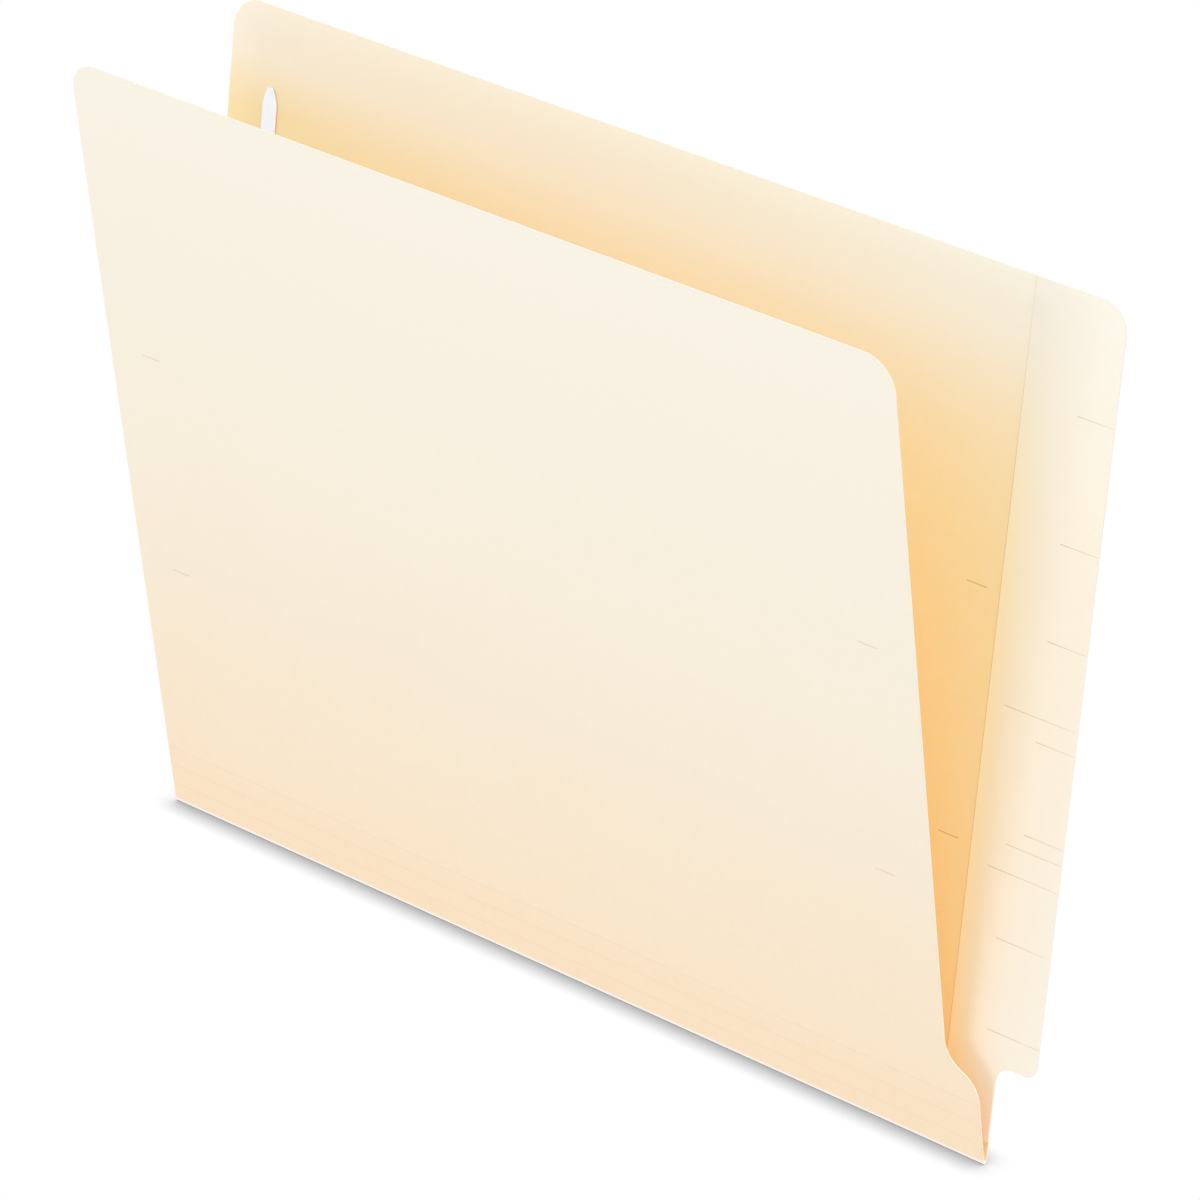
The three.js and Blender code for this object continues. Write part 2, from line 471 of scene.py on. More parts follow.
@dataclass(frozen=True)
class SteelFinish(Finish):
    """Thin tinned steel strip, bright, with the fine lines of its rolling, and duller from wear outside.
    """

    body: Colour = (0.945, 0.950, 0.975)
    dull: Colour = (0.800, 0.805, 0.830)
    # The duller tone of wear on the base outside the panel.
    wear_and_highlight: Colour = (0.530, 0.540, 0.570)
    line_width: float = 0.09 * MM
    line_length: float = 14 * MM
    line_depth: float = 0.006 * MM
    line_strength: float = 0.25
    line_roughness: float = 0.12
    bloom_size: float = 3 * MM
    bloom_roughness: float = 0.08
    rubbed_least: float = 0.6
    rubbed_bloom: float = 0.5
    roughness: float = 0.26

    def draw(self, nodes: Nodes) -> None:
        """Builds the material's nodes.

        Args:
            nodes: The material's empty node tree.
        """
        lines = nodes.coordinates((
            1.0 / self.line_width, 1.0 / self.line_width, 1.0 / self.line_length,
        ))
        rolled = nodes.noise(lines, 1.0)
        bloom = nodes.noise(nodes.coordinates(), self.bloom_size, detail=3.0)
        colour = nodes.blend(bloom * rolled, self.body, self.dull)
        outside = nodes.painted("outside") * (bloom * self.rubbed_bloom + self.rubbed_least)
        spread = rolled * self.line_roughness + bloom * self.bloom_roughness
        nodes.surface(self.line_strength, self.line_depth, rolled, {
            "Base Color": nodes.blend(outside, colour, self.wear_and_highlight),
            "Metallic": 1.0,
            "Roughness": spread + self.roughness,
        })


BOARD_FINISH = BoardFinish("cream_board")
# The ply is the same board. Its body and pale tone are painted cooler, against the warm light
# that the V bounces onto the tab, and its inner tone is painted warm light beside the seam.
PLY_FINISH = BoardFinish(
    "cream_ply", body=(0.892, 0.868, 0.772), pale=(0.922, 0.904, 0.832), inner=(1.0, 0.890, 0.540),
    warm_shade_share=0.25,
)
EDGE_FINISH = CutEdgeFinish("board_cut_edge")
STEEL_FINISH = SteelFinish("bright_steel")


@dataclass
class Piece:
    """One mesh under work, shaped with Blender's own operators, as by hand."""

    name: str
    thing: bpy.types.Object = field(init=False)

    @classmethod
    def sheet(cls, name: str, left: float, right: float, low: float, high: float, y: float) -> "Piece":
        """Lays down a flat sheet that faces along Y.

        Args:
            name: The piece's name.
            left: Its lowest X.
            right: Its highest X.
            low: Its lowest Z.
            high: Its highest Z.
            y: The plane that it lies in.

        Returns:
            The piece.
        """
        piece = cls(name)
        bpy.ops.object.select_all(action="DESELECT")
        bpy.ops.mesh.primitive_plane_add(
            size=1.0, rotation=(math.pi / 2, 0.0, 0.0),
            location=((left + right) / 2, y, (low + high) / 2),
        )
        piece.thing = bpy.context.active_object
        piece.thing.name = piece.thing.data.name = name
        piece.thing.scale = (right - left, high - low, 1.0)
        piece.settle()
        return piece

    def hold(self) -> None:
        """Makes this piece the only one selected, and active."""
        if bpy.context.object and bpy.context.object.mode != "OBJECT":
            bpy.ops.object.mode_set(mode="OBJECT")
        bpy.ops.object.select_all(action="DESELECT")
        self.thing.select_set(True)
        bpy.context.view_layer.objects.active = self.thing

    def settle(self) -> None:
        """Moves the object's place, turn and scale into its mesh."""
        self.hold()
        bpy.ops.object.transform_apply(location=True, rotation=True, scale=True)

    def edit(self) -> None:
        """Enters edit mode with nothing selected."""
        self.hold()
        bpy.ops.object.mode_set(mode="EDIT")
        bpy.ops.mesh.select_all(action="DESELECT")

    def done(self) -> None:
        """Leaves edit mode."""
        bpy.ops.object.mode_set(mode="OBJECT")

    def pick(self, kind: Kind, where: Callable[[Vector], bool]) -> int:
        """Selects by place, in edit mode.

        Args:
            kind: Corners, edges or faces.
            where: Says of a place whether what has its middle there is selected.

        Returns:
            How many were selected.
        """
        bpy.ops.mesh.select_all(action="DESELECT")
        bpy.ops.mesh.select_mode(type=kind.value)
        mesh = bmesh.from_edit_mesh(self.thing.data)
        if kind is Kind.CORNER:
            found = [v for v in mesh.verts if where(v.co)]
        elif kind is Kind.EDGE:
            found = [e for e in mesh.edges if where((e.verts[0].co + e.verts[1].co) / 2)]
        else:
            found = [f for f in mesh.faces if where(f.calc_center_median())]
        for part in found:
            part.select_set(True)
        mesh.select_flush_mode()
        bmesh.update_edit_mesh(self.thing.data)
        return len(found)

    def cut(self, axis: Axis, places: Iterable[float]) -> None:
        """Cuts the whole mesh along planes, in edit mode.

        Args:
            axis: The axis that the planes stand across.
            places: Where each plane is on it.
        """
        for place in places:
            bpy.ops.mesh.select_all(action="SELECT")
            middle, normal = Vector((0.0, 0.0, 0.0)), Vector((0.0, 0.0, 0.0))
            middle[axis.value], normal[axis.value] = place, 1.0
            bpy.ops.mesh.bisect(plane_co=middle, plane_no=normal)

    def divide(self, axis: Axis, low: float, high: float, pitch: float) -> None:
        """Cuts the whole mesh at even steps between two places, about a pitch apart, in edit mode."""
        self.cut(axis, steps_between(low, high, pitch))

    def pull_edge(self, where: Callable[[Vector], bool], by: Point) -> None:
        """Extrudes the edges at a place, in edit mode."""
        self.pick(Kind.EDGE, where)
        bpy.ops.mesh.extrude_edges_move(TRANSFORM_OT_translate={"value": by})

    def move(self, where: Callable[[Vector], bool], by: Point) -> None:
        """Moves the corners at a place, in edit mode."""
        if self.pick(Kind.CORNER, where):
            bpy.ops.transform.translate(value=by)

    def round_corner(self, x: float, z: float, radius: float, turn: float, steps: int) -> None:
        """Rounds one corner of a flat outline, in edit mode.

        Args:
            x: The corner's X.
            z: The corner's Z.
            radius: The radius of the arc that replaces it.
            turn: How far the outline turns there, in radians.
            steps: How many straight steps the arc has.
        """
        self.pick(Kind.CORNER, lambda p: near(p.x, x) and near(p.z, z))
        bpy.ops.mesh.bevel(
            offset_type="ABSOLUTE", offset=radius * math.tan(turn / 2),
            segments=steps, profile=0.5, affect="VERTICES", clamp_overlap=False,
        )

    def join_faces(self) -> None:
        """Joins all the faces of a flat sheet into one, in edit mode."""
        bpy.ops.mesh.select_all(action="SELECT")
        bpy.ops.mesh.dissolve_limited(angle_limit=FLAT_JOINT)

    def spin_edge(
        self, y: float, z: float, angle: float, centre: tuple[float, float], steps: int
    ) -> None:
        """Spins the edge that runs along X at a place about another line along X, in edit mode.

        Args:
            y: The edge's Y.
            z: The edge's Z.
            angle: How far it turns, counted from Y towards Z.
            centre: Y and Z of the line that it turns about.
            steps: How many faces the turn has.
        """
        self.pick(Kind.EDGE, lambda p: near(p.y, y, EDGE_MATCH) and near(p.z, z, EDGE_MATCH))
        bpy.ops.mesh.spin(
            steps=steps, angle=angle, center=(0.0, *centre), axis=(-1.0, 0.0, 0.0)
        )

    def unify(self) -> None:
        """Merges doubles and makes the faces point one way, in edit mode."""
        bpy.ops.mesh.select_all(action="SELECT")
        bpy.ops.mesh.remove_doubles(threshold=WELD)
        bpy.ops.mesh.normals_make_consistent(inside=False)

    def drop_faces(self, where: Callable[[Vector], bool]) -> None:
        """Deletes the faces at a place, in edit mode."""
        self.pick(Kind.FACE, where)
        bpy.ops.mesh.delete(type="FACE")

    def thicken(self, thickness: float) -> None:
        """Gives the sheet its thickness, half to each side, with the rim in the second material.

        Args:
            thickness: The thickness.
        """
        self.hold()
        solid = self.thing.modifiers.new("board", "SOLIDIFY")
        solid.thickness = thickness
        solid.offset = 0.0
        solid.use_even_offset = True
        solid.material_offset_rim = 1
        bpy.ops.object.modifier_apply(modifier=solid.name)

    def make_board(self, board: "Board", finish: Finish = BOARD_FINISH) -> None:
        """Leaves edit mode and makes the flat sheet a piece of board.

        Args:
            board: The sizes of the board.
            finish: The finish of its two faces.
        """
        self.done()
        self.dress(finish, EDGE_FINISH)
        self.thicken(board.thickness)

    def soften(self, width: float, spare: Callable[[Vector], bool], steps: int = 2) -> None:
        """Rounds the sharp edges.

        Args:
            width: The width of the rounding.
            spare: Says of an edge's middle whether it stays sharp, as where two pieces meet.
            steps: How many faces each rounding has.
        """
        self.edit()
        bpy.ops.mesh.select_mode(type="EDGE")
        bpy.ops.mesh.edges_select_sharp(sharpness=SHARP_EDGE)
        mesh = bmesh.from_edit_mesh(self.thing.data)
        for edge in mesh.edges:
            if edge.select and spare((edge.verts[0].co + edge.verts[1].co) / 2):
                edge.select_set(False)
        mesh.select_flush_mode()
        bmesh.update_edit_mesh(self.thing.data)
        bpy.ops.mesh.bevel(offset=width, segments=steps, affect="EDGES", clamp_overlap=True)
        self.done()

    def smooth(self, degrees: float = 35.0) -> None:
        """Shades the piece smooth over gentle edges, and flat where it lies along the flat drawing.

        Args:
            degrees: Edges sharper than this stay sharp.
        """
        self.hold()
        bpy.ops.object.shade_smooth_by_angle(angle=math.radians(degrees))
        self.edit()
        bpy.ops.mesh.select_mode(type="FACE")
        mesh = bmesh.from_edit_mesh(self.thing.data)
        for face in mesh.faces:
            face.select_set(abs(face.normal.y) > FLAT_FACE)
        bmesh.update_edit_mesh(self.thing.data)
        bpy.ops.mesh.faces_shade_flat()
        self.done()

    def paint(self, name: str, value: Callable[[Vector], float]) -> None:
        """Writes a number at each corner, for the finish to read.

        Args:
            name: The attribute's name.
            value: The number for a place.
        """
        written = self.thing.data.attributes.new(name, "FLOAT", "POINT")
        written.data.foreach_set("value", [value(v.co) for v in self.thing.data.vertices])

    def lean(self, side: Side, board: "Board") -> None:
        """Turns the finished flat piece to its side of the V and sets it on the hinge line.

        Args:
            side: The side.
            board: The sizes of the board.
        """
        self.thing.rotation_euler = (-side.value * board.lean, 0.0, 0.0)
        self.thing.location = (0.0, 0.0, board.hinge_height)
        self.settle()

    def dress(self, *finishes: Finish) -> None:
        """Gives the piece its finishes.

        Args:
            finishes: One for each of its material slots.
        """
        self.thing.data.materials.clear()
        for finish in finishes:
            self.thing.data.materials.append(finish.material())

    def mirror_up(self) -> None:
        """Adds the piece's mirror image below Z 0."""
        self.hold()
        mirror = self.thing.modifiers.new("other_half", "MIRROR")
        mirror.use_axis = (False, False, True)
        mirror.merge_threshold = MIRROR_WELD
        bpy.ops.object.modifier_apply(modifier=mirror.name)

    def ride(self, body: str, slot: Slot, node: str) -> None:
        """Sets the finished piece on its body.

        Args:
            body: The body that it moves with.
            slot: The material slot that its finish comes from.
            node: The solid that it stands for.
        """
        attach(self.thing, body)
        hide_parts(node)
        self._report(slot)

    def bend(
        self, bodies: tuple[str, str], start: Point, end: Point, slot: Slot,
        node: Optional[str] = None,
    ) -> None:
        """Bakes the finished piece's place into its mesh, and hides the solid that it stands for, if
        any.

        Args:
            bodies: The body that it follows at its start, and the one at its end. Not used.
            start: Where the bend starts. Not used.
            end: Where it ends. Not used.
            slot: The material slot that its finish comes from.
            node: The solid that it stands for, if any.
        """
        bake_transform(self.thing)
        if node:
            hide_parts(node)
        self._report(slot)

    def _report(self, slot: Slot) -> None:
        """Logs the piece."""
        log.info("%s: %d faces", self.thing.name, len(self.thing.data.polygons))


def near(a: float, b: float, by: float = SAME) -> bool:
    """Says whether two lengths differ by less than a third one."""
    return abs(a - b) < by


def steps_between(low: float, high: float, pitch: float) -> list[float]:
    """Returns evenly spaced places between two ends, without the ends, about a pitch apart."""
    count = max(1, round((high - low) / pitch))
    return [low + (high - low) * i / count for i in range(1, count)]


@dataclass(frozen=True)
class Board:
    """The sizes that all the board pieces share, and where the V's painted shade and light lie."""

    thickness: float = 0.28 * MM
    width: float = 298.45 * MM
    tab_reach: float = 12.7 * MM
    height: float = 241.3 * MM
    lean: float = math.radians(7.5)
    inner_radius: float = 0.35 * MM
    hinge_height: float = 0.61672 * MM
    panel_start: float = 0.78 * MM
    edge_softness: float = 0.035 * MM
    grid: float = 15 * MM
    # Painted shade deep in the V: where it starts below the top edge and how it grows,
    # and how much more of it there is towards the left end.
    inner_share: float = 0.92
    inner_from: float = 13 * MM
    inner_depth: float = 30 * MM
    inner_rise: float = 1.5
    inner_end: float = 2.8
    inner_reach: float = 45 * MM
    # Painted light below the top edge on the inside: its depth, and its fade towards the left end.
    lip_depth: float = 20 * MM
    lip_reach: float = 90 * MM

    @property
    def left(self) -> float:
        """X of the left edge, with the origin at the middle of the overall width."""
        return -(self.width + self.tab_reach) / 2

    @property
    def right(self) -> float:
        """X of the fold's right end."""
        return self.left + self.width

    @property
    def tab_edge(self) -> float:
        """X of the tab's outer edge."""
        return self.right + self.tab_reach

    @property
    def top(self) -> float:
        """The panels' top edge, up the panel from the hinge line."""
        return self.height - self.hinge_height

    @property
    def middle(self) -> float:
        """How far the middle of the board is from the hinge line."""
        return self.inner_radius + self.thickness / 2

    def up(self, height: float) -> float:
        """Returns a height above the fold's lowest point as a distance from the hinge line."""
        return height - self.hinge_height

    def inside(self, x: float, up: float) -> float:
        """Finds how much painted shade, the inner tone, the inside of a panel has at a place.

        Args:
            x: The place's X.
            up: How far it is up the panel.

        Returns:
            The share of the tone.
        """
        below = max(self.top - self.inner_from - up, 0.0) / self.inner_depth
        end = 1.0 + self.inner_end * math.exp((self.left - x) / self.inner_reach)
        share = self.inner_share * (1 - math.exp(-below ** self.inner_rise)) * end
        # The share of the painted shade.
        return min(share, self.inner_share)

    def lip(self, x: float, up: float) -> float:
        """Returns the painted light in the pale band below the top edge on the inside of a panel."""
        below = (self.top - up) / self.lip_depth
        return math.exp(-below * below) * (1 - math.exp((self.left - x) / self.lip_reach))

    def tint(self, piece: Piece, side: Side) -> None:
        """Paints shade deep in the V and light below the top edge on the inside of a panel, still flat.
        """
        for name, tone in (("inside", self.inside), ("lip", self.lip)):
            piece.paint(name, lambda p: tone(p.x, p.z) if side.value * p.y < self.middle else 0.0)

    def place(self, side: Side, out: float, up: float) -> Point:
        """Returns where a point of the flat drawing ends up on the leaned panel, at X 0.

        Args:
            side: The panel.
            out: How far the point is from the hinge line across the board.
            up: How far it is up the panel.

        Returns:
            The point's place.
        """
        across = out * math.cos(self.lean) + up * math.sin(self.lean)
        height = up * math.cos(self.lean) - out * math.sin(self.lean)
        return 0.0, side.value * across, self.hinge_height + height


@dataclass(frozen=True)
class Fold:
    """The rounded fold, and the short stretch of board that bends with the expansion strips."""

    board: Board
    steps: int = 24
    # Painted highlight along the rounded fold, where the board is also stretched paler.
    worn: float = 1.0
    highlight_height: float = 0.2 * MM
    crease_pitch: float = 0.1 * MM

    def build(self) -> None:
        """Makes the fold's two pieces."""
        self._turn()
        self._crease()

    def _turn(self) -> None:
        """Spins the board round the hinge line from the front panel to the back panel."""
        board = self.board
        radius = board.hinge_height - board.thickness / 2
        sweep = math.pi - 2 * board.lean
        piece = Piece.sheet(
            "fold_turn", board.left, board.right, 0.0, board.panel_start, -radius
        )
        piece.edit()
        piece.spin_edge(-radius, 0.0, sweep, (0.0, 0.0), self.steps)
        piece.drop_faces(lambda p: p.y < 0 < p.z)
        end_y, end_z = -radius * math.cos(sweep), -radius * math.sin(sweep)
        piece.pull_edge(
            lambda p: near(p.y, end_y) and near(p.z, end_z),
            (0.0, board.panel_start * math.sin(sweep), -board.panel_start * math.cos(sweep)),
        )
        piece.divide(Axis.ALONG, board.left, board.right, board.grid)
        piece.unify()
        piece.make_board(board)
        piece.smooth()
        # Painted highlight on the rounded fold.
        piece.paint("worn", lambda p: self.worn if p.z < self.highlight_height else 0.0)
        piece.lean(Side.FRONT, board)
        reach = board.inner_radius * math.cos(board.lean)
        piece.bend(
            ("fold_bead", "back_panel"), (0.0, -reach, board.hinge_height),
            (0.0, reach, board.hinge_height), Slot.BOARD, "fold_bead",
        )

    def _crease(self) -> None:
        """Makes the stretch of board between the rounded fold and the first expansion strip."""
        board = self.board
        piece = Piece.sheet(
            "fold_crease", board.left, board.right, 0.0, board.panel_start, -board.middle
        )
        piece.edit()
        piece.divide(Axis.UP, 0.0, board.panel_start, self.crease_pitch)
        piece.divide(Axis.ALONG, board.left, board.right, board.grid)
        piece.make_board(board)
        piece.smooth()
        # Painted highlight, fading up the crease.
        piece.paint("worn", lambda p: self.worn * (1 - p.z / board.panel_start))
        piece.lean(Side.FRONT, board)
        piece.bend(
            ("fold_bead", "spine"), board.place(Side.FRONT, board.middle, 0.0),
            board.place(Side.FRONT, board.middle, board.panel_start), Slot.BOARD,
        )


@dataclass(frozen=True)
class SlitPair:
    """Two short knife cuts, one above the other, that take the prongs of a paper fastener."""

    x: float
    centre: float
    width: float = 0.06 * MM
    length: float = 6.35 * MM
    spacing: float = 69.85 * MM
    margin: float = 0.3 * MM
    shadow: float = 0.85

    @property
    def levels(self) -> tuple[float, float]:
        """How far up the panel the two slits are."""
        return self.centre - self.spacing / 2, self.centre + self.spacing / 2

    def cut(self, piece: Piece) -> None:
        """Cuts the slits out of a flat sheet, in edit mode, with a narrow border round each.

        Args:
            piece: The sheet.
        """
        half, slit = self.length / 2, self.width / 2
        piece.cut(Axis.ALONG, self._lines(self.x, half))
        for level in self.levels:
            piece.cut(Axis.UP, self._lines(level, slit))
            piece.drop_faces(lambda p: abs(p.x - self.x) < half and abs(p.z - level) < slit)

    def _lines(self, middle: float, half: float) -> list[float]:
        """Returns where a slit and its border end, on both sides of its middle."""
        return [middle + side * (half + out) for side in (-1, 1) for out in (0, self.margin)]

    def shade(self, place: Vector) -> float:
        """Finds the painted shade at the cut's own edge.

        Args:
            place: A corner of the mesh.

        Returns:
            The darkness, and 0 away from the slits.
        """
        along = abs(place.x - self.x) < self.length / 2 + SAME
        across = any(abs(place.z - level) < self.width / 2 + SAME for level in self.levels)
        return self.shadow if along and across else 0.0


@dataclass(frozen=True)
class BackPanel:
    """The back panel, whose right edge steps out into the tab."""

    board: Board
    corner_radius: float = 9.5 * MM
    tab_foot: float = 28.8 * MM
    tab_root_radius: float = 5 * MM
    tab_foot_radius: float = 3.5 * MM
    tab_corner_radius: float = 8.2 * MM
    slit_height: float = 120.65 * MM
    fastener_inset: float = 16 * MM
    slit_inset: float = 24.4 * MM
    fastener_slit: float = 0.42 * MM
    ply_width: float = 29.35 * MM
    ply_foot: float = 6.35 * MM
    seam_shadow_width: float = 0.4 * MM
    seam_shadow: float = 0.80
    seam_least: float = 0.3
    seam_fade: float = 60 * MM

    @property
    def seam(self) -> float:
        """X of the left edge of the ply that is glued inside the tab."""
        return self.board.tab_edge - self.ply_width

    def draw_tab(self, piece: Piece) -> None:
        """Pulls the tab out of a flat sheet's right edge and rounds its corners, in edit mode.

        Args:
            piece: The sheet.
        """
        board = self.board
        foot, quarter = board.up(self.tab_foot), math.pi / 2
        piece.cut(Axis.UP, (foot,))
        piece.pull_edge(
            lambda p: near(p.x, board.right) and p.z > foot, (board.tab_reach, 0.0, 0.0)
        )
        piece.join_faces()
        piece.round_corner(board.right, foot, self.tab_root_radius, quarter, SMALL_ARC)
        piece.round_corner(board.tab_edge, foot, self.tab_foot_radius, quarter, SMALL_ARC)
        piece.round_corner(board.tab_edge, board.top, self.tab_corner_radius, quarter, LARGE_ARC)

    def build(self) -> None:
        """Makes the panel and sets it on its body."""
        board = self.board
        height = board.up(self.slit_height)
        pairs = (
            SlitPair(board.left + self.fastener_inset, height, self.fastener_slit),
            SlitPair(board.right - self.slit_inset, height),
        )
        piece = Piece.sheet(
            "back_board", board.left, board.right, board.panel_start, board.top, board.middle
        )
        piece.edit()
        self.draw_tab(piece)
        piece.round_corner(board.left, board.top, self.corner_radius, math.pi / 2, LARGE_ARC)
        for pair in pairs:
            pair.cut(piece)
        piece.cut(Axis.ALONG, [self.seam + side * self.seam_shadow_width for side in (-1, 0, 1)])
        piece.divide(Axis.ALONG, board.left, board.tab_edge, board.grid)
        piece.divide(Axis.UP, board.panel_start, board.top, board.grid)
        piece.make_board(board)
        piece.paint("groove", lambda p: max(self._shade(p), *(pair.shade(p) for pair in pairs)))
        board.tint(piece, Side.BACK)
        piece.soften(board.edge_softness, lambda p: near(p.z, board.panel_start))
        piece.smooth()
        piece.lean(Side.BACK, board)
        piece.ride("back_panel", Slot.BOARD, "back_panel")

    def _shade(self, place: Vector) -> float:
        """Returns how dark the inside of the panel is at a corner of the mesh, beside the seam."""
        inside = place.y < self.board.middle and place.z > self.board.up(self.ply_foot)
        return self.seam_tone(place.z) if inside and near(place.x, self.seam) else 0.0

    def seam_tone(self, up: float) -> float:
        """Returns how dark the seam's line is at a height: less so near the top edge."""
        share = min((self.board.top - up) / self.seam_fade, 1.0)
        return self.seam_shadow * (self.seam_least + (1 - self.seam_least) * share)


@dataclass(frozen=True)
class TabPly:
    """The second ply glued inside the tab, from a seam on the back panel to the tab's edge.

    The marks are short hairlines that run out towards the tab's edge. Each is where it starts and
    ends along the fold, from the folder's left edge, and its height, in millimetres.
    """

    board: Board
    panel: BackPanel
    glue: float = 0.01 * MM
    mark_width: float = 0.3 * MM
    mark_depth: float = 0.06 * MM
    mark_taper: float = 0.2 * MM
    mark_spare: float = 0.031 * MM
    mark_shadow: float = 0.90
    mark_fade: float = 0.60
    seam_border: float = 0.25 * MM
    # How far and how strongly the painted warm light beside the seam reaches on the ply.
    fade: float = 16 * MM
    fade_share: float = 0.80
    fade_steps: int = 4
    smooth_angle: float = 12.0
    marks: tuple[Point, ...] = (
        (299.3, 311.15, 209.0), (298.7, 311.15, 174.4), (298.3, 311.15, 147.7),
        (287.2, 309.7, 126.5), (298.3, 311.15, 120.0), (298.1, 311.15, 94.0),
        (292.9, 311.15, 89.6), (287.8, 311.15, 81.9), (293.1, 310.3, 63.3),
        (293.7, 311.15, 37.5),
    )

    @property
    def inside(self) -> float:
        """Y of the ply's inner face in the flat drawing."""
        return self.board.inner_radius - self.glue - self.board.thickness

    def build(self) -> None:
        """Makes the ply and sets it on its body."""
        board, panel = self.board, self.panel
        low = board.up(panel.ply_foot)
        piece = Piece.sheet(
            "tab_ply", panel.seam, board.right, low, board.top, self.inside + board.thickness / 2
        )
        piece.edit()
        panel.draw_tab(piece)
        self._cut_marks(piece)
        piece.cut(Axis.ALONG, (panel.seam + self.seam_border,))
        piece.divide(Axis.ALONG, panel.seam, board.tab_edge, self.fade / self.fade_steps)
        piece.divide(Axis.UP, low, board.top, board.grid)
        piece.make_board(board, PLY_FINISH)
        self._press_marks(piece)
        piece.paint("groove", self._shade)
        # Painted warm light beside the seam, in the inner tone.
        piece.paint("inside", lambda p: board.inside(p.x, p.z) * self._within(p.x))
        marks = self.inside + self.mark_depth
        piece.soften(board.edge_softness, lambda p: near(p.y, marks, self.mark_spare))
        piece.smooth(self.smooth_angle)
        piece.lean(Side.BACK, board)
        piece.ride("back_panel", Slot.PLY, "tab_reinforcement")

    def _places(self) -> list[Point]:
        """Returns the start, the end and the height of each mark in the flat drawing."""
        left, up = self.board.left, self.board.up
        return [(left + a * MM, left + b * MM, up(height * MM)) for a, b, height in self.marks]

    def _cut_marks(self, piece: Piece) -> None:
        """Cuts the lines that border the marks, in edit mode.

        Args:
            piece: The ply, still flat and thin.
        """
        half = self.mark_width / 2
        for start, _, level in self._places():
            piece.cut(Axis.UP, (level - half, level, level + half))
            piece.cut(Axis.ALONG, (start, start + self.mark_taper))

    def _press_marks(self, piece: Piece) -> None:
        """Presses the middle line of each mark into the inner face.

        Args:
            piece: The ply, still flat.
        """
        piece.edit()
        for start, end, level in self._places():
            piece.move(
                lambda p: near(p.y, self.inside) and near(p.z, level)
                and start + self.mark_taper - SAME < p.x < end + SAME,
                (0.0, self.mark_depth, 0.0),
            )
        piece.done()

    def _within(self, x: float) -> float:
        """Returns the share of painted warm light on the ply: most at the seam, none a fade away from
        it.
        """
        share = min((x - self.panel.seam) / self.fade, 1.0)
        return self.fade_share * (1 - share) ** 2

    def _shade(self, place: Vector) -> float:
        """Finds how dark the ply is, in the marks and along the seam.

        Args:
            place: A corner of the mesh.

        Returns:
            The darkness, and 0 elsewhere.
        """
        if near(place.x, self.panel.seam):
            return self.panel.seam_tone(place.z)
        if not near(place.y, self.inside + self.mark_depth):
            return 0.0
        start, end, _ = next(m for m in self._places() if near(place.z, m[2]))
        return self.mark_shadow * (1 - self.mark_fade * (place.x - start) / (end - start))


